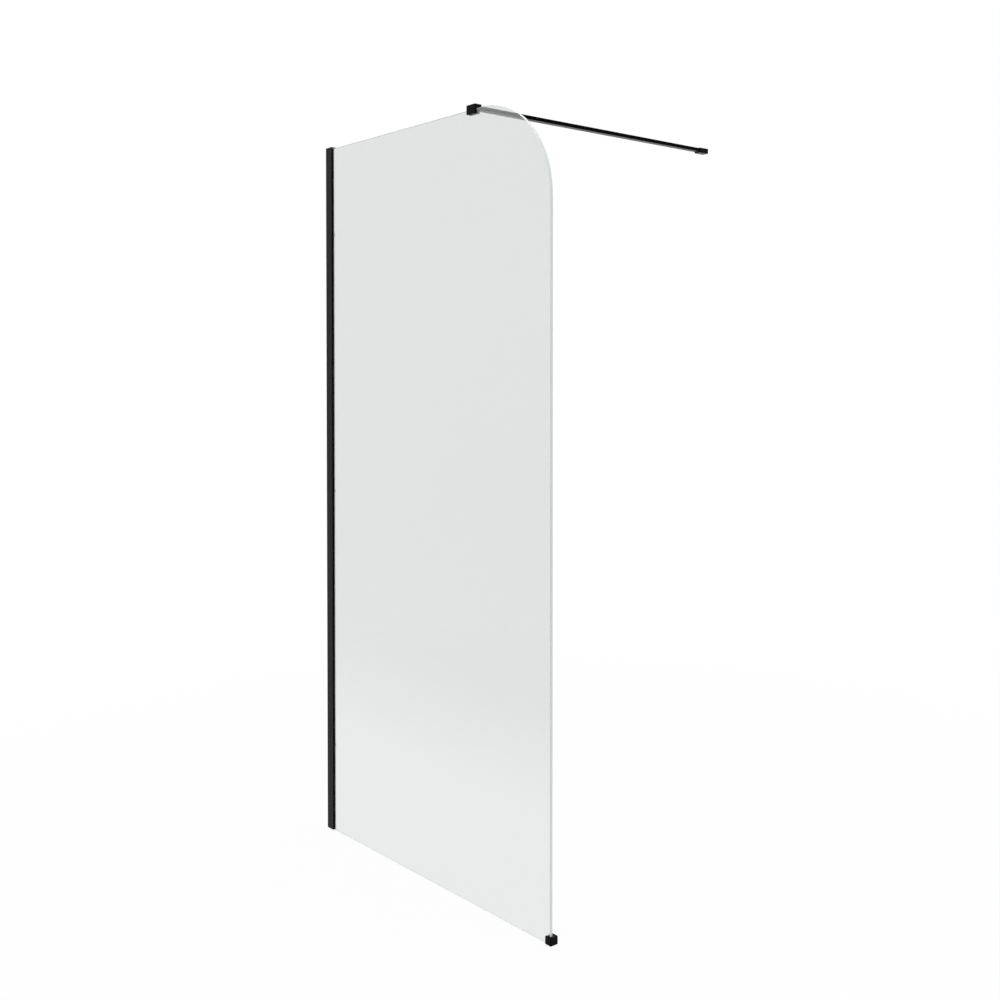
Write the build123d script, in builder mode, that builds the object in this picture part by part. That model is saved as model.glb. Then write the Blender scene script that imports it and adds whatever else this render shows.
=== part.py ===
from build123d import *
import os

os.makedirs("parts", exist_ok=True)

# Walk-in shower screen, in millimetres
# X runs along the glass from the wall, Y into the shower, Z up from the floor
# The origin is on the wall, in the middle of the glass thickness, at the floor

# Glass panel
glass_thickness = 8.0
glass_height = 2000.0
free_edge = 975.0
corner_radius = 250.0
glass_arris = 0.6

# Clearances
slide_gap = 0.2
thread_gap = 0.05
key_gap = 0.1
lift_gap = 0.5

# Wall channel, an extruded U with screw holes in its web
channel_depth = 30.0
channel_web = 2.0
channel_wall = 1.3
channel_mouth_radius = 0.4
sealant_groove_width = 1.5
sealant_groove_depth = 0.5
sealant_groove_offset = 5.0
drill_line_depth = 0.4
wall_screw_radius = 2.75
wall_screw_sink = 3.6
wall_screw_count = 4
wall_screw_end_distance = 100.5

# Lock screws in the shower side of the channel, with their covers
lock_screw_radius = 2.0
lock_screw_mouth_distance = 4.5
lock_screw_count = 3
lock_screw_end_distance = 250.0
lock_head_radius = 3.4
lock_head_height = 1.8
lock_head_chamfer = 0.5
lock_socket = 2.5
lock_socket_depth = 1.1
lock_cap_radius = 4.1
lock_cap_height = 2.7
lock_cap_chamfer = 0.5

# Top cap of the channel
cap_height = 4.8
cap_edge_radius = 1.0
cap_tongue_thickness = 3.0
cap_tongue_length = 12.0

# Glazing profile, an extruded U that slides in the channel and holds the glass
profile_wall = 1.2
screw_head_room = 4.5
profile_rib_width = 1.0
profile_rib_height = 0.3
profile_rib_mouth_distance = 5.0

# Gaskets, keyed to the ribs of the glazing profile
gasket_depth = 10.0
gasket_thickness = 0.8
gasket_lip = 1.2
gasket_lip_cover = 1.2
gasket_lip_radius = 0.6
gasket_relief_depth = 0.3
gasket_relief_width = 1.8
gasket_relief_pitch = 3.6
gasket_relief_count = 2

# Setting blocks between the edge of the glass and the glazing profile
block_thickness = 3.0
block_length = 80.0
block_count = 3
block_end_distance = 150.0

# Floor foot round the free bottom corner of the glass
foot_height = 20.0
foot_outside = 8.0
foot_inside = 15.5
foot_grip = 12.5
foot_overhang = 7.0
foot_top_radius = 1.6
foot_bottom_radius = 1.2
foot_corner_radius = 2.4
floor_screw_radius = 2.2
floor_screw_sink = 3.4
floor_screw_end_distance = 6.5
liner_thickness = 1.0
liner_base = 0.5
liner_setback = 0.5
foot_screw_radius = 2.5
foot_screw_height = 11.0
foot_screw_start_distance = 5.0

# Bar clamp on the top edge of the glass
clamp_corner_distance = 43.0
clamp_length = 34.5
clamp_outside = 7.5
clamp_inside = 14.0
clamp_rise = 12.5
clamp_drop = 11.5
clamp_edge_radius = 0.8
clamp_edge_gap = 0.8
pad_thickness = 0.8
pad_inset = 2.0
plate_thickness = 1.0
plate_inset = 4.0
pad_base_inset = 1.0
clamp_screw_radius = 2.5
clamp_screw_spacing = 18.0
clamp_screw_height = 4.5

# Support bar, a rectangular tube that slips over a spigot on the clamp
bar_width = 18.0
bar_height = 10.0
bar_wall = 1.2
bar_corner_radius = 0.8
bar_bore_corner_radius = 0.4
bar_rise = 0.5
spigot_length = 20.0
spigot_gap = 0.1
spigot_corner_radius = 1.0
spigot_lead_in = 0.6
bar_screw_radius = 2.0
bar_screw_length = 6.0

# Wall bracket, a socket for the end of the bar on the facing wall
facing_wall = 885.0
bracket_length = 35.5
bracket_floor = 5.0
bracket_side_wall = 1.7
bracket_top_wall = 1.4
bracket_bottom_wall = 2.7
bracket_edge_radius = 0.8
bracket_lead_in = 0.4
bracket_screw_radius = 2.75
bracket_screw_sink = 4.5
bracket_head_room = 6.0
bracket_set_screw_radius = 2.0
bracket_set_screw_distance = 8.0

# Countersinks, and the hexagon sockets of the set screws
countersink_angle = 90.0
socket_share = 0.58
socket_depth = 1.5
set_screw_inset = 0.3
set_screw_tip_chamfer = 0.5

# Heights and places worked out from the sizes above
glass_half = glass_thickness / 2
glass_bottom = liner_base
glass_top = glass_bottom + glass_height
channel_length = glass_top + lift_gap
profile_inside_half = glass_half + gasket_thickness
profile_half = profile_inside_half + profile_wall
channel_mouth_half = profile_half + slide_gap
channel_half = channel_mouth_half + channel_wall
profile_back = channel_web + screw_head_room
glass_wall_edge = profile_back + profile_wall + block_thickness
clamp_centre = free_edge - corner_radius - clamp_corner_distance


def spread(first, last, count):
    """Evenly spaced values from first to last."""
    return [first + (last - first) * i / (count - 1) for i in range(count)]


def wall_plane(x, y, z):
    """A plane across the length of the screen, whose normal points away from the wall."""
    return Plane(origin=(x, y, z), x_dir=(0, 1, 0), z_dir=(1, 0, 0))


def shower_plane(x, y, z):
    """A plane along the glass, whose normal points into the shower."""
    return Plane(origin=(x, y, z), x_dir=(-1, 0, 0), z_dir=(0, 1, 0))


def floor_side_plane(x, y, z):
    """A level plane whose normal points down to the floor."""
    return Plane(origin=(x, y, z), x_dir=(1, 0, 0), z_dir=(0, 0, -1))


def set_screws(planes, radius, length):
    """Socket set screws, each with its socket end on its plane and a bevelled tip behind it."""
    with BuildPart() as screws:
        for plane in planes:
            with BuildSketch(plane):
                Circle(radius - thread_gap)
            extrude(amount=-length)
            tip = faces().sort_by_distance(plane.offset(-length).origin)[0]
            chamfer(tip.edges(), set_screw_tip_chamfer)
            with BuildSketch(plane):
                RegularPolygon(radius * socket_share, 6)
            extrude(amount=-socket_depth, mode=Mode.SUBTRACT)
    return screws


def write(piece, name):
    """Label a finished piece and write it to its own file."""
    piece.part.label = name
    export_step(piece.part, f"parts/{name}.step")


# Wall channel, with a V line down the web that the screw holes lie on
with BuildPart() as wall_channel:
    with BuildSketch(Plane.XY):
        Rectangle(channel_depth, 2 * channel_half, align=(Align.MIN, Align.CENTER))
        with Locations((channel_web, 0)):
            Rectangle(
                channel_depth, 2 * channel_mouth_half,
                align=(Align.MIN, Align.CENTER), mode=Mode.SUBTRACT,
            )
        with Locations((0, -sealant_groove_offset), (0, sealant_groove_offset)):
            Rectangle(
                sealant_groove_depth, sealant_groove_width,
                align=(Align.MIN, Align.CENTER), mode=Mode.SUBTRACT,
            )
        with Locations((channel_web, 0)):
            RegularPolygon(drill_line_depth, 4, mode=Mode.SUBTRACT)
        mouth_corners = vertices().group_by(Axis.X)[-1].sort_by(Axis.Y)
        fillet([mouth_corners[0], mouth_corners[-1]], channel_mouth_radius)
    extrude(amount=channel_length)
    screw_heights = spread(
        wall_screw_end_distance, channel_length - wall_screw_end_distance, wall_screw_count
    )
    with Locations(*[wall_plane(channel_web, 0, z) for z in screw_heights]):
        CounterSinkHole(
            wall_screw_radius, wall_screw_sink, depth=channel_web,
            counter_sink_angle=countersink_angle,
        )
    lock_heights = spread(
        lock_screw_end_distance, channel_length - lock_screw_end_distance, lock_screw_count
    )
    lock_x = channel_depth - lock_screw_mouth_distance
    with Locations(*[shower_plane(lock_x, channel_half, z) for z in lock_heights]):
        Hole(lock_screw_radius, depth=channel_wall)
write(wall_channel, "wall_channel")

# Top cap, with a tongue behind the glazing profile
with BuildPart() as channel_top_cap:
    with BuildSketch(Plane.XY.offset(channel_length)):
        Rectangle(channel_depth, 2 * channel_half, align=(Align.MIN, Align.CENTER))
    extrude(amount=cap_height)
    top_edges = faces().sort_by(Axis.Z)[-1].edges()
    wall_edge = top_edges.sort_by(Axis.X)[0]
    fillet([edge for edge in top_edges if edge != wall_edge], cap_edge_radius)
    with BuildSketch(Plane.XY.offset(channel_length)):
        with Locations((channel_web, 0)):
            Rectangle(
                cap_tongue_thickness, 2 * (channel_mouth_half - key_gap),
                align=(Align.MIN, Align.CENTER),
            )
    extrude(amount=-cap_tongue_length)
write(channel_top_cap, "channel_top_cap")

# Lock screws, whose tips stop at the inner face of the channel
with BuildPart() as channel_lock_screws:
    for z in lock_heights:
        seat = shower_plane(lock_x, channel_half, z)
        with BuildSketch(seat):
            Circle(lock_screw_radius - thread_gap)
        extrude(amount=-channel_wall)
        with BuildSketch(seat):
            Circle(lock_head_radius)
        extrude(amount=lock_head_height)
        head_top = faces().sort_by_distance(seat.offset(lock_head_height).origin)[0]
        chamfer(head_top.edges(), lock_head_chamfer)
        with BuildSketch(seat.offset(lock_head_height)):
            RegularPolygon(lock_socket / 2, 6, major_radius=False)
        extrude(amount=-lock_socket_depth, mode=Mode.SUBTRACT)
write(channel_lock_screws, "channel_lock_screws")

# Round covers over the lock screws
with BuildPart() as lock_screw_caps:
    for z in lock_heights:
        seat = shower_plane(lock_x, channel_half, z)
        with BuildSketch(seat):
            Circle(lock_cap_radius)
        extrude(amount=lock_cap_height)
        with BuildSketch(seat):
            Circle(lock_head_radius + key_gap)
        extrude(amount=lock_head_height + key_gap, mode=Mode.SUBTRACT)
    chamfer(faces().filter_by(Axis.Y).group_by(Axis.Y)[-1].edges(), lock_cap_chamfer)
write(lock_screw_caps, "lock_screw_caps")

# Glazing profile, with a rib inside each flange
rib_x = channel_depth - profile_rib_mouth_distance
with BuildPart() as glazing_profile:
    with BuildSketch(Plane.XY.offset(glass_bottom)):
        with Locations((profile_back, 0)):
            Rectangle(
                channel_depth - profile_back, 2 * profile_half,
                align=(Align.MIN, Align.CENTER),
            )
        with Locations((profile_back + profile_wall, 0)):
            Rectangle(
                channel_depth, 2 * profile_inside_half,
                align=(Align.MIN, Align.CENTER), mode=Mode.SUBTRACT,
            )
        with Locations((rib_x, profile_inside_half)):
            Rectangle(profile_rib_width, profile_rib_height, align=(Align.CENTER, Align.MAX))
        with Locations((rib_x, -profile_inside_half)):
            Rectangle(profile_rib_width, profile_rib_height, align=(Align.CENTER, Align.MIN))
    extrude(amount=glass_height)
write(glazing_profile, "glazing_profile")

# Gasket on the shower side, with a lip over the flange end and ribs against the glass
gasket_back = channel_depth - gasket_depth
with BuildPart() as gasket_inside:
    with BuildSketch(Plane.XY.offset(glass_bottom)):
        with Locations((gasket_back, glass_half)):
            Rectangle(gasket_depth, gasket_thickness, align=(Align.MIN, Align.MIN))
        with Locations((channel_depth, glass_half)):
            Rectangle(
                gasket_lip, gasket_thickness + gasket_lip_cover,
                align=(Align.MIN, Align.MIN),
            )
        with Locations((rib_x, profile_inside_half)):
            Rectangle(
                profile_rib_width + 2 * key_gap, profile_rib_height + key_gap,
                align=(Align.CENTER, Align.MAX), mode=Mode.SUBTRACT,
            )
        with Locations((gasket_back + gasket_depth / 2, glass_half)):
            with GridLocations(gasket_relief_pitch, 0, gasket_relief_count, 1):
                Rectangle(
                    gasket_relief_width, gasket_relief_depth,
                    align=(Align.CENTER, Align.MIN), mode=Mode.SUBTRACT,
                )
        lip_corners = vertices().group_by(Axis.X)[-1]
        fillet(lip_corners, gasket_lip_radius)
    extrude(amount=glass_height)
write(gasket_inside, "gasket_inside")

# Gasket on the other side, its mirror image
with BuildPart() as gasket_outside:
    add(gasket_inside.part.mirror(Plane.XZ))
write(gasket_outside, "gasket_outside")

# Setting blocks between the web of the glazing profile and the glass
block_heights = spread(
    glass_bottom + block_end_distance, glass_top - block_end_distance, block_count
)
with BuildPart() as glass_edge_blocks:
    with Locations(*[(profile_back + profile_wall, 0, z) for z in block_heights]):
        Box(
            block_thickness, glass_thickness, block_length,
            align=(Align.MIN, Align.CENTER, Align.CENTER),
        )
write(glass_edge_blocks, "glass_edge_blocks")

# Glass panel with one rounded top corner and a fine arris round both faces
with BuildPart() as glass_panel:
    with BuildSketch(Plane.XZ):
        with Locations((glass_wall_edge, glass_bottom)):
            Rectangle(free_edge - glass_wall_edge, glass_height, align=(Align.MIN, Align.MIN))
        top_corner = vertices().group_by(Axis.Y)[-1].sort_by(Axis.X)[-1]
        fillet(top_corner, corner_radius)
    extrude(amount=glass_half, both=True)
    chamfer(faces().filter_by(Axis.Y).edges(), glass_arris)
write(glass_panel, "glass_panel")

# Floor foot, slotted from top to floor for the glass, with its screws in the thick inside half
foot_start = free_edge - foot_grip
foot_end = free_edge + foot_overhang
pocket_half = glass_half + liner_thickness
pocket_end = free_edge + liner_thickness
foot_screw_x = foot_start + foot_screw_start_distance
with BuildPart() as foot_body:
    with BuildSketch(Plane.XY):
        with Locations((foot_start, -foot_outside)):
            Rectangle(
                foot_end - foot_start, foot_outside + foot_inside,
                align=(Align.MIN, Align.MIN),
            )
        fillet(vertices().group_by(Axis.X)[-1], foot_corner_radius)
    extrude(amount=foot_height)
    fillet(faces().sort_by(Axis.Z)[-1].edges(), foot_top_radius)
    fillet(faces().sort_by(Axis.Z)[0].edges(), foot_bottom_radius)
    with BuildSketch(Plane.XY):
        with Locations((foot_start, 0)):
            Rectangle(pocket_end - foot_start, 2 * pocket_half, align=(Align.MIN, Align.CENTER))
    extrude(amount=foot_height, mode=Mode.SUBTRACT)
    floor_screw_x = foot_end - floor_screw_end_distance
    floor_screw_y = (pocket_half + foot_inside) / 2
    with Locations((floor_screw_x, floor_screw_y, foot_height)):
        CounterSinkHole(
            floor_screw_radius, floor_screw_sink, depth=foot_height,
            counter_sink_angle=countersink_angle,
        )
    with Locations(shower_plane(foot_screw_x, foot_inside, foot_screw_height)):
        Hole(foot_screw_radius, depth=foot_inside - pocket_half)
write(foot_body, "foot_body")

# Soft liner between the foot and the glass, which the glass stands on
with BuildPart() as foot_liner:
    with BuildSketch(Plane.XY):
        with Locations((foot_start + liner_setback, 0)):
            Rectangle(
                pocket_end - foot_start - liner_setback, 2 * pocket_half,
                align=(Align.MIN, Align.CENTER),
            )
    extrude(amount=foot_height - liner_setback)
    with BuildSketch(Plane.XY.offset(glass_bottom)):
        with Locations((foot_start, 0)):
            Rectangle(foot_grip, glass_thickness, align=(Align.MIN, Align.CENTER))
    extrude(amount=foot_height, mode=Mode.SUBTRACT)
write(foot_liner, "foot_liner")

# Set screw that presses the liner against the glass
foot_set_screw = set_screws(
    [shower_plane(foot_screw_x, foot_inside - set_screw_inset, foot_screw_height)],
    foot_screw_radius,
    foot_inside - set_screw_inset - pocket_half,
)
write(foot_set_screw, "foot_set_screw")

# Clamp body, open below for the glass, with a spigot for the bar
clamp_base = glass_top - clamp_drop
clamp_top = glass_top + clamp_rise
jaw_outside = glass_half + slide_gap + pad_thickness
jaw_inside = jaw_outside + plate_thickness
bar_base = glass_top + bar_rise
bar_middle = bar_base + bar_height / 2
clamp_screw_z = clamp_base + clamp_screw_height
clamp_screw_x = [clamp_centre - clamp_screw_spacing / 2, clamp_centre + clamp_screw_spacing / 2]
bar_screw_y = clamp_inside + spigot_length / 2
spigot_width = bar_width - 2 * (bar_wall + spigot_gap)
spigot_height = bar_height - 2 * (bar_wall + spigot_gap)
with BuildPart() as clamp_body:
    with Locations((clamp_centre, -clamp_outside, clamp_base)):
        Box(
            clamp_length, clamp_outside + clamp_inside, clamp_top - clamp_base,
            align=(Align.CENTER, Align.MIN, Align.MIN),
        )
    fillet(edges(), clamp_edge_radius)
    with BuildSketch(shower_plane(clamp_centre, clamp_inside, bar_middle)):
        RectangleRounded(spigot_width, spigot_height, spigot_corner_radius)
    extrude(amount=spigot_length)
    chamfer(faces().sort_by(Axis.Y)[-1].edges(), spigot_lead_in)
    with BuildSketch(Plane.YZ.offset(clamp_centre - clamp_length / 2)):
        with Locations((-jaw_outside, clamp_base)):
            Rectangle(
                jaw_outside + jaw_inside, clamp_drop + clamp_edge_gap,
                align=(Align.MIN, Align.MIN),
            )
    extrude(amount=clamp_length, mode=Mode.SUBTRACT)
    with Locations(*[shower_plane(x, clamp_inside, clamp_screw_z) for x in clamp_screw_x]):
        Hole(clamp_screw_radius, depth=clamp_inside - jaw_inside)
    with Locations(floor_side_plane(clamp_centre, bar_screw_y, bar_base)):
        Hole(bar_screw_radius, depth=bar_screw_length + set_screw_inset)
write(clamp_body, "clamp_body")

# Soft pads in the clamp, one on each side of the glass
pad_base = clamp_base + pad_base_inset
pad_height = glass_top - pad_base
with BuildPart() as clamp_pad_outside:
    with Locations((clamp_centre, -jaw_outside, pad_base)):
        Box(
            clamp_length - 2 * pad_inset, pad_thickness, pad_height,
            align=(Align.CENTER, Align.MIN, Align.MIN),
        )
write(clamp_pad_outside, "clamp_pad_outside")

with BuildPart() as clamp_pad_inside:
    with Locations((clamp_centre, jaw_inside - plate_thickness, pad_base)):
        Box(
            clamp_length - 2 * pad_inset, pad_thickness, pad_height,
            align=(Align.CENTER, Align.MAX, Align.MIN),
        )
write(clamp_pad_inside, "clamp_pad_inside")

# Steel plate between the set screws and the inside pad
with BuildPart() as clamp_pressure_plate:
    with Locations((clamp_centre, jaw_inside, pad_base)):
        Box(
            clamp_length - plate_inset, plate_thickness, pad_height,
            align=(Align.CENTER, Align.MAX, Align.MIN),
        )
write(clamp_pressure_plate, "clamp_pressure_plate")

# Two set screws that press the plate
clamp_set_screws = set_screws(
    [shower_plane(x, clamp_inside - set_screw_inset, clamp_screw_z) for x in clamp_screw_x],
    clamp_screw_radius,
    clamp_inside - set_screw_inset - jaw_inside,
)
write(clamp_set_screws, "clamp_set_screws")

# Support bar from the clamp into the wall bracket
bracket_start = facing_wall - bracket_length
bar_end = facing_wall - bracket_floor - bracket_head_room
with BuildPart() as support_bar:
    with BuildSketch(shower_plane(clamp_centre, clamp_inside, bar_middle)):
        RectangleRounded(bar_width, bar_height, bar_corner_radius)
        RectangleRounded(
            bar_width - 2 * bar_wall, bar_height - 2 * bar_wall, bar_bore_corner_radius,
            mode=Mode.SUBTRACT,
        )
    extrude(amount=bar_end - clamp_inside)
    with Locations(floor_side_plane(clamp_centre, bar_screw_y, bar_base)):
        Hole(bar_screw_radius, depth=bar_wall)
write(support_bar, "support_bar")

# Set screw through the underside of the bar into the spigot
bar_set_screw = set_screws(
    [floor_side_plane(clamp_centre, bar_screw_y, bar_base + set_screw_inset)],
    bar_screw_radius,
    bar_screw_length,
)
write(bar_set_screw, "bar_set_screw")

# Wall bracket, a socket with a screw hole in its floor
bracket_width = bar_width + 2 * (slide_gap + bracket_side_wall)
socket_width = bar_width + 2 * slide_gap
socket_height = bar_height + 2 * slide_gap
bracket_base = bar_base - slide_gap - bracket_bottom_wall
bracket_top = bar_base + bar_height + slide_gap + bracket_top_wall
bracket_screw_y = bracket_start + bracket_set_screw_distance
with BuildPart() as wall_bracket:
    with Locations((clamp_centre, bracket_start, bracket_base)):
        Box(
            bracket_width, bracket_length, bracket_top - bracket_base,
            align=(Align.CENTER, Align.MIN, Align.MIN),
        )
    wall_edges = faces().sort_by(Axis.Y)[-1].edges()
    fillet([edge for edge in edges() if edge not in wall_edges], bracket_edge_radius)
    with BuildSketch(shower_plane(clamp_centre, bracket_start, bar_middle)):
        Rectangle(socket_width, socket_height)
    extrude(amount=bracket_length - bracket_floor, mode=Mode.SUBTRACT)
    mouth = faces().sort_by(Axis.Y)[0]
    chamfer(mouth.inner_wires().edges(), bracket_lead_in)
    screw_plane = Plane(
        origin=(clamp_centre, facing_wall - bracket_floor, bar_middle), z_dir=(0, -1, 0)
    )
    with Locations(screw_plane):
        CounterSinkHole(
            bracket_screw_radius, bracket_screw_sink, depth=bracket_floor,
            counter_sink_angle=countersink_angle,
        )
    with Locations(floor_side_plane(clamp_centre, bracket_screw_y, bracket_base)):
        Hole(bracket_set_screw_radius, depth=bracket_bottom_wall)
write(wall_bracket, "wall_bracket")

# Set screw through the underside of the bracket against the bar
bracket_set_screw = set_screws(
    [floor_side_plane(clamp_centre, bracket_screw_y, bracket_base)],
    bracket_set_screw_radius,
    bracket_bottom_wall,
)
write(bracket_set_screw, "bracket_set_screw")
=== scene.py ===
import bmesh
import bpy
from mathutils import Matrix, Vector

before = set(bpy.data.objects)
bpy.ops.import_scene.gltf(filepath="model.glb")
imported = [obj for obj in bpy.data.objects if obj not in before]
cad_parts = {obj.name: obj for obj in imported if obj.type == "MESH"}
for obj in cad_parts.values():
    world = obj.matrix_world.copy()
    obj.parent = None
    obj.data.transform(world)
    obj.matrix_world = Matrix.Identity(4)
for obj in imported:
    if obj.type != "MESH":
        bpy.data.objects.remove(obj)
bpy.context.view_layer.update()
scene = bpy.context.scene

# Sizes on the object and in the scene, in metres
GLOSS_CLOUD = 0.035  # patches of duller and glossier coat
LINE_WIDTH = 0.0012  # faint lines that an extrusion die leaves
LINE_RELIEF = 0.000004
GLASS_PAINTED_LIGHT_LOW, GLASS_PAINTED_LIGHT_HIGH = 0.26, 0.62  # heights between which painted light makes the glass paler towards the floor
FLOOR_RADIUS = 20.0
FLOOR_DROP = 0.0002  # the floor lies this far under the object
FLOOR_NEAR, FLOOR_FAR = 1.0, 3.0  # distances over which the floor loses its shadow


# Small helpers for node trees
def blank_tree(block):
    """An empty node tree on a material or world."""
    block.use_nodes = True
    block.node_tree.nodes.clear()
    return block.node_tree


def add_node(tree, kind, settings=None, values=None):
    """A node with its own settings and plain input values."""
    node = tree.nodes.new(kind)
    for name, value in (settings or {}).items():
        setattr(node, name, value)
    for name, value in (values or {}).items():
        node.inputs[name].default_value = value
    return node


def maths(tree, operation, *values):
    """A sum on outputs and plain numbers."""
    node = add_node(tree, "ShaderNodeMath", {"operation": operation})
    for socket, value in zip(node.inputs, values):
        if isinstance(value, float):
            socket.default_value = value
        else:
            tree.links.new(value, socket)
    return node.outputs[0]


def mapped(tree, value, source, target, smooth=False):
    """`value` taken from the range `source` to the range `target`, and held at its ends."""
    node = add_node(
        tree, "ShaderNodeMapRange",
        {"interpolation_type": "SMOOTHSTEP" if smooth else "LINEAR"},
        {"From Min": source[0], "From Max": source[1], "To Min": target[0], "To Max": target[1]},
    )
    tree.links.new(value, node.inputs["Value"])
    return node.outputs["Result"]


def mixed_colour(tree, share, start, end):
    """A colour that turns from `start` to `end` by `share`. Each is an output or a colour."""
    node = add_node(tree, "ShaderNodeMix", {"data_type": "RGBA"})
    tree.links.new(share, node.inputs[0])
    for socket, colour in ((node.inputs[6], start), (node.inputs[7], end)):
        if isinstance(colour, tuple):
            socket.default_value = (*colour, 1.0)
        else:
            tree.links.new(colour, socket)
    return node.outputs[2]


def end_in_mix(tree, output_kind, share, start, end):
    """Ends a tree in a shader that turns from `start` to `end` by `share`."""
    mixed = add_node(tree, "ShaderNodeMixShader")
    output = add_node(tree, output_kind)
    for source, socket in zip((share, start, end), mixed.inputs):
        tree.links.new(source, socket)
    tree.links.new(mixed.outputs["Shader"], output.inputs["Surface"])


def noise(tree, place, size, detail=2.0):
    """Noise whose features are about `size` metres across, read at `place`."""
    node = add_node(
        tree, "ShaderNodeTexNoise", values={"Scale": 1.0 / size, "Detail": detail}
    )
    tree.links.new(place, node.inputs["Vector"])
    return node.outputs["Fac"]


def stretched(tree, place, scale):
    """Coordinates squeezed by `scale`, so that a noise read there runs long in that direction."""
    node = add_node(tree, "ShaderNodeMapping", values={"Scale": scale})
    tree.links.new(place, node.inputs["Vector"])
    return node.outputs["Vector"]


def ramp(tree, value, start, end):
    """A colour ramp between two (position, colour) stops."""
    node = add_node(tree, "ShaderNodeValToRGB")
    for element, (position, colour) in zip(node.color_ramp.elements, (start, end)):
        element.position, element.color = position, (*colour, 1.0)
    tree.links.new(value, node.inputs["Fac"])
    return node.outputs["Color"]


def spread(tree, value, limits):
    """The middle of a noise, spread over `limits`."""
    return mapped(tree, value, (0.3, 0.7), limits)


def bumped(tree, height, depth, under=None):
    """A normal raised by `height`, whose full relief is `depth` metres."""
    node = add_node(tree, "ShaderNodeBump", values={"Strength": 1.0, "Distance": depth})
    tree.links.new(height, node.inputs["Height"])
    if under is not None:
        tree.links.new(under, node.inputs["Normal"])
    return node.outputs["Normal"]


def surface(name, values):
    """A material with one Principled shader, and the place on the object its textures read."""
    material = bpy.data.materials.new(name)
    tree = blank_tree(material)
    shader = add_node(tree, "ShaderNodeBsdfPrincipled", values=values)
    output = add_node(tree, "ShaderNodeOutputMaterial")
    tree.links.new(shader.outputs["BSDF"], output.inputs["Surface"])
    place = add_node(tree, "ShaderNodeTexCoord").outputs["Object"]
    return material, tree, shader, place


def coated(name, dark, light, specular, rough, peel, relief, lines=None):
    """Coat or plastic: orange peel of size `peel`, cloudy gloss, and faint lines along an
    extrusion. `specular` is one level, or the levels seen straight on and at a slant."""
    material, tree, shader, place = surface(name, {})
    level = shader.inputs["Specular IOR Level"]
    if isinstance(specular, tuple):
        slant = add_node(tree, "ShaderNodeLayerWeight", values={"Blend": 0.5})
        gloss = mapped(tree, slant.outputs["Facing"], (0.4, 0.8), specular)
        tree.links.new(gloss, level)
    else:
        level.default_value = specular
    grain = noise(tree, place, peel, 3.0)
    cloud = noise(tree, place, GLOSS_CLOUD, 4.0)
    colour = ramp(tree, grain, (0.32, dark), (0.68, light))
    tree.links.new(colour, shader.inputs["Base Color"])
    tree.links.new(spread(tree, cloud, rough), shader.inputs["Roughness"])
    normal = bumped(tree, grain, relief)
    if lines is not None:
        drawn = noise(tree, stretched(tree, place, lines), LINE_WIDTH)
        normal = bumped(tree, drawn, LINE_RELIEF, normal)
    tree.links.new(normal, shader.inputs["Normal"])
    return material


def steel_finish():
    """Satin stainless steel with fine turning marks."""
    material, tree, shader, place = surface("stainless_steel", {"Metallic": 1.0})
    marks = noise(tree, stretched(tree, place, (1.0, 0.12, 1.0)), 0.00018, 3.0)
    cloud = noise(tree, place, 0.004, 3.0)
    colour = ramp(tree, cloud, (0.3, (0.50, 0.49, 0.48)), (0.7, (0.62, 0.61, 0.60)))
    tree.links.new(colour, shader.inputs["Base Color"])
    tree.links.new(spread(tree, marks, (0.24, 0.40)), shader.inputs["Roughness"])
    tree.links.new(bumped(tree, marks, 0.000004), shader.inputs["Normal"])
    return material


def pane_tint_and_painted_light(tree, place):
    """Colour of the polished faces: faintly clouded, with painted light that makes them paler near
    the floor.
    """
    clear = ramp(
        tree, noise(tree, place, 0.6),
        (0.3, (0.714, 0.732, 0.723)), (0.7, (0.722, 0.740, 0.731)),
    )
    along = add_node(tree, "ShaderNodeSeparateXYZ")
    tree.links.new(place, along.inputs["Vector"])
    # Painted light: the faces are painted paler below these heights, towards the floor
    painted_light_near_floor = mapped(
        tree, along.outputs["Z"], (GLASS_PAINTED_LIGHT_HIGH, GLASS_PAINTED_LIGHT_LOW), (0.0, 1.0), smooth=True
    )
    return mixed_colour(tree, painted_light_near_floor, clear, (0.80, 0.82, 0.81))


def ground_grit_with_painted_light_and_shade(tree, place, upward):
    """Colour of the ground edges: fine grit, with painted shade where they face up and painted
    light where they are seen from inside the glass.
    """
    grit = ramp(
        tree, noise(tree, place, 0.0005),
        (0.3, (0.82, 0.865, 0.85)), (0.7, (0.88, 0.925, 0.91)),
    )
    # Painted shade: the ground edges are painted darker where they face up
    painted_top_shade = mapped(tree, upward, (0.3, 0.9), (0.0, 1.0))
    grit_with_painted_top_shade = mixed_colour(tree, painted_top_shade, grit, (0.73, 0.765, 0.75))
    # Painted light: the ground edges are painted paler where they are seen from inside the glass
    painted_light_inside_mask = add_node(tree, "ShaderNodeNewGeometry").outputs["Backfacing"]
    return mixed_colour(tree, painted_light_inside_mask, grit_with_painted_top_shade, (0.97, 0.985, 0.98))


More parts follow.
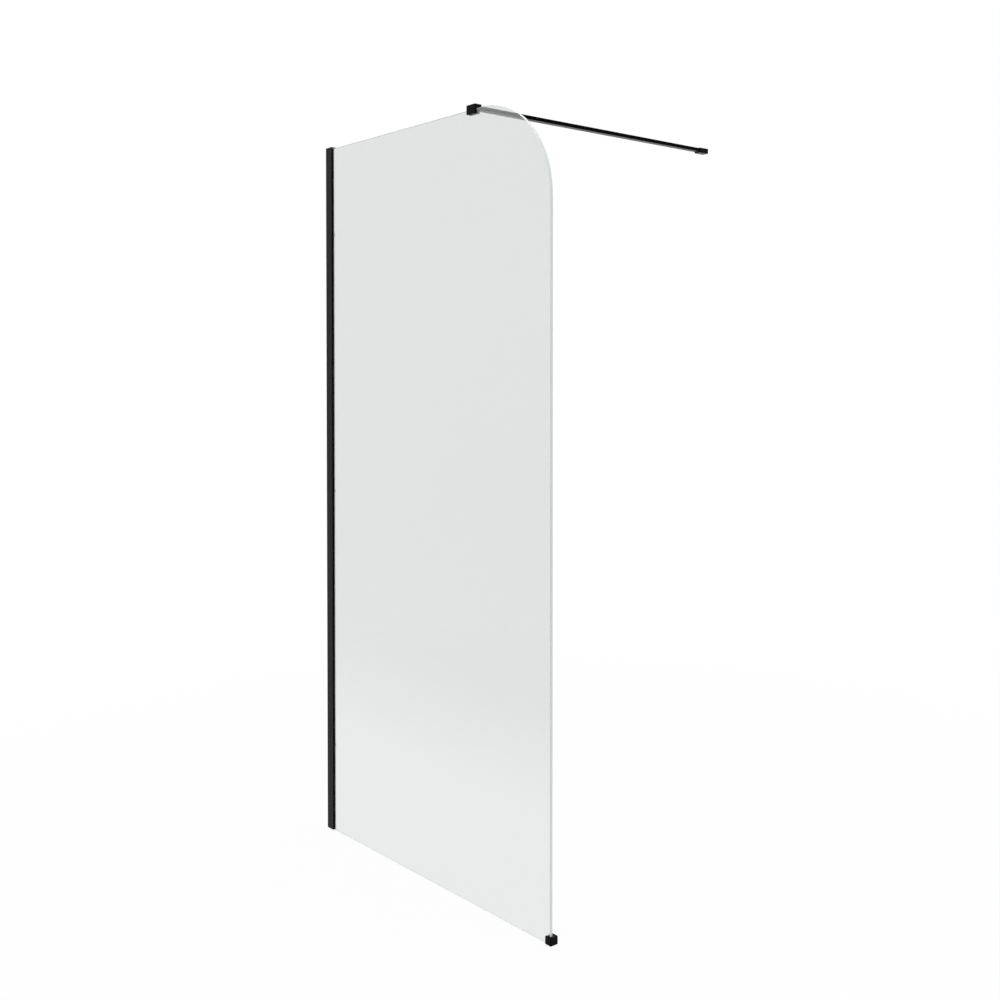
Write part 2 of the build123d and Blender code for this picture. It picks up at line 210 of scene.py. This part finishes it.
def glass_with_painted_light():
    """Clear glass, polished on its two faces and ground to a pale matt on its edges, with painted
    light and shade in its colour.
    """
    material = bpy.data.materials.new("glass_clear_with_painted_light")
    tree = blank_tree(material)
    coordinates = add_node(tree, "ShaderNodeTexCoord")
    place = coordinates.outputs["Object"]
    shader = add_node(tree, "ShaderNodeBsdfPrincipled", values={"IOR": 2.0})
    normal = add_node(tree, "ShaderNodeSeparateXYZ")
    tree.links.new(coordinates.outputs["Normal"], normal.inputs["Vector"])
    facing = maths(tree, "ABSOLUTE", normal.outputs["Y"])
    edge = mapped(tree, facing, (0.95, 0.8), (0.0, 1.0))
    # The colour holds painted light on the faces near the floor, and painted shade and light on
    # the ground edges
    tint_with_painted_light = mixed_colour(
        tree, edge, pane_tint_and_painted_light(tree, place), ground_grit_with_painted_light_and_shade(tree, place, normal.outputs["Z"])
    )
    tree.links.new(tint_with_painted_light, shader.inputs["Base Color"])
    through = mapped(tree, edge, (0.0, 1.0), (1.0, 0.15))
    tree.links.new(through, shader.inputs["Transmission Weight"])
    tree.links.new(mapped(tree, edge, (0.0, 1.0), (0.0, 0.4)), shader.inputs["Roughness"])
    shade = add_node(
        tree, "ShaderNodeBsdfTransparent", values={"Color": (0.86, 0.89, 0.88, 1.0)}
    )
    shadow_ray = add_node(tree, "ShaderNodeLightPath").outputs["Is Shadow Ray"]
    end_in_mix(
        tree, "ShaderNodeOutputMaterial", shadow_ray, shader.outputs["BSDF"], shade.outputs["BSDF"]
    )
    return material


materials = {
    # Matt black powder coat on the wall profiles, the bar and the castings
    "black_aluminium": coated(
        "powder_coat_profile", dark=(0.002, 0.0022, 0.0022), light=(0.0045, 0.0047, 0.0047),
        specular=(0.09, 0.14), rough=(0.34, 0.44), peel=0.0009, relief=0.00002,
        lines=(1.0, 1.0, 0.01),
    ),
    "black_bar": coated(
        "powder_coat_bar", dark=(0.0006, 0.0006, 0.0006), light=(0.0016, 0.0016, 0.0016),
        specular=(0.018, 0.09), rough=(0.24, 0.32), peel=0.0009, relief=0.00002,
        lines=(1.0, 0.01, 1.0),
    ),
    "black_casting": coated(
        "powder_coat_casting", dark=(0.0012, 0.0012, 0.0012), light=(0.003, 0.003, 0.003),
        specular=(0.05, 0.10), rough=(0.30, 0.40), peel=0.0011, relief=0.00003,
    ),
    # Moulded plastic with a fine matt grain: black caps and covers, grey setting blocks
    "black_plastic": coated(
        "plastic_black", dark=(0.010, 0.010, 0.0105), light=(0.016, 0.016, 0.0165),
        specular=(0.12, 0.25), rough=(0.46, 0.56), peel=0.0004, relief=0.00002,
    ),
    "grey_plastic": coated(
        "plastic_grey", dark=(0.36, 0.37, 0.38), light=(0.46, 0.47, 0.48),
        specular=0.4, rough=(0.45, 0.58), peel=0.0006, relief=0.00002,
    ),
    # Soft black gasket, extruded along the glass, and the soft pads
    "black_gasket": coated(
        "rubber_gasket", dark=(0.003, 0.003, 0.0033), light=(0.006, 0.006, 0.0064),
        specular=(0.06, 0.15), rough=(0.58, 0.70), peel=0.0005, relief=0.00001,
        lines=(1.0, 1.0, 0.02),
    ),
    "soft_pad": coated(
        "rubber_pad", dark=(0.020, 0.020, 0.021), light=(0.032, 0.032, 0.033),
        specular=(0.2, 0.25), rough=(0.62, 0.75), peel=0.0006, relief=0.00002,
    ),
    "steel": steel_finish(),
    "clear_glass": glass_with_painted_light(),
}

# Each CAD node takes the finish of the slot it was packed with
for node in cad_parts.values():
    for slot in node.material_slots:
        slot.material = materials[slot.material.name.split(".")[0]]


# Floor and world that read as white to the eye, and light the object as a pale room would
def seen_directly(tree):
    """1 for rays from the camera, a reflection or the glass that have met nothing matt, else 0."""
    path = add_node(tree, "ShaderNodeLightPath").outputs
    seen = maths(tree, "MAXIMUM", path["Is Camera Ray"], path["Is Glossy Ray"])
    seen = maths(tree, "MAXIMUM", seen, path["Is Transmission Ray"])
    unscattered = maths(tree, "LESS_THAN", path["Diffuse Depth"], 0.5)
    return maths(tree, "MULTIPLY", seen, unscattered)


def white_world():
    """A pale room that lights the object, and plain white where it is seen."""
    scene.world = bpy.data.worlds.new("studio")
    tree = blank_tree(scene.world)
    room = add_node(
        tree, "ShaderNodeBackground", values={"Color": (0.97, 0.985, 1.0, 1.0), "Strength": 0.45}
    )
    white = add_node(
        tree, "ShaderNodeBackground", values={"Color": (1.0, 1.0, 1.0, 1.0), "Strength": 1.0}
    )
    end_in_mix(
        tree, "ShaderNodeOutputWorld", seen_directly(tree),
        room.outputs["Background"], white.outputs["Background"],
    )


def white_floor():
    """A wide round floor: seen as white, with the object's faint shadow near its middle."""
    mesh = bpy.data.meshes.new("floor")
    shape = bmesh.new()
    bmesh.ops.create_circle(shape, cap_ends=True, segments=96, radius=FLOOR_RADIUS)
    shape.to_mesh(mesh)
    shape.free()
    floor = bpy.data.objects.new("floor", mesh)
    floor.location = (0.5, 0.4, -FLOOR_DROP)
    scene.collection.objects.link(floor)
    material = bpy.data.materials.new("floor_white")
    tree = blank_tree(material)
    matt = add_node(tree, "ShaderNodeBsdfDiffuse", values={"Color": (0.92, 0.92, 0.92, 1.0)})
    white = add_node(
        tree, "ShaderNodeEmission", values={"Color": (1.0, 1.0, 1.0, 1.0), "Strength": 1.0}
    )
    distance = add_node(tree, "ShaderNodeVectorMath", {"operation": "LENGTH"})
    place = add_node(tree, "ShaderNodeTexCoord").outputs["Object"]
    tree.links.new(place, distance.inputs[0])
    share = mapped(
        tree, distance.outputs["Value"], (FLOOR_NEAR, FLOOR_FAR), (0.93, 1.0), smooth=True
    )
    end_in_mix(
        tree, "ShaderNodeOutputMaterial", maths(tree, "MULTIPLY", share, seen_directly(tree)),
        matt.outputs["BSDF"], white.outputs["Emission"],
    )
    mesh.materials.append(material)


def soft_box(name, place, target, size, power, reflected=True):
    """A square soft box at `place`, turned to `target`."""
    data = bpy.data.lights.new(name, "AREA")
    data.shape = "SQUARE"
    data.size = size
    data.energy = power
    lamp = bpy.data.objects.new(name, data)
    lamp.location = place
    lamp.rotation_euler = (Vector(target) - Vector(place)).to_track_quat("-Z", "Y").to_euler()
    lamp.visible_camera = False
    lamp.visible_transmission = False
    lamp.visible_glossy = reflected
    scene.collection.objects.link(lamp)


white_world()
white_floor()
soft_box("top_box", (0.2, -0.3, 4.6), (0.5, 0.3, 0.0), size=3.6, power=120.0)
soft_box("side_box", (3.2, 2.4, 2.6), (0.5, 0.3, 1.0), size=2.4, power=30.0, reflected=False)

# Camera near the photograph's place, turned down a little, with the rest of its framing by shift
camera_data = bpy.data.cameras.new("camera")
camera_data.sensor_width = 36.0
camera_data.lens = 42.894
camera_data.shift_y = -0.094
camera_data.clip_start = 0.05
camera_data.clip_end = 100.0
camera = bpy.data.objects.new("camera", camera_data)
camera.location = (3.0217, -1.8688, 1.3186)
camera_way = Vector((-0.76688, 0.64149, -0.01961))
camera.rotation_euler = camera_way.to_track_quat("-Z", "Y").to_euler()
scene.collection.objects.link(camera)
scene.camera = camera

scene.view_settings.view_transform = "Standard"
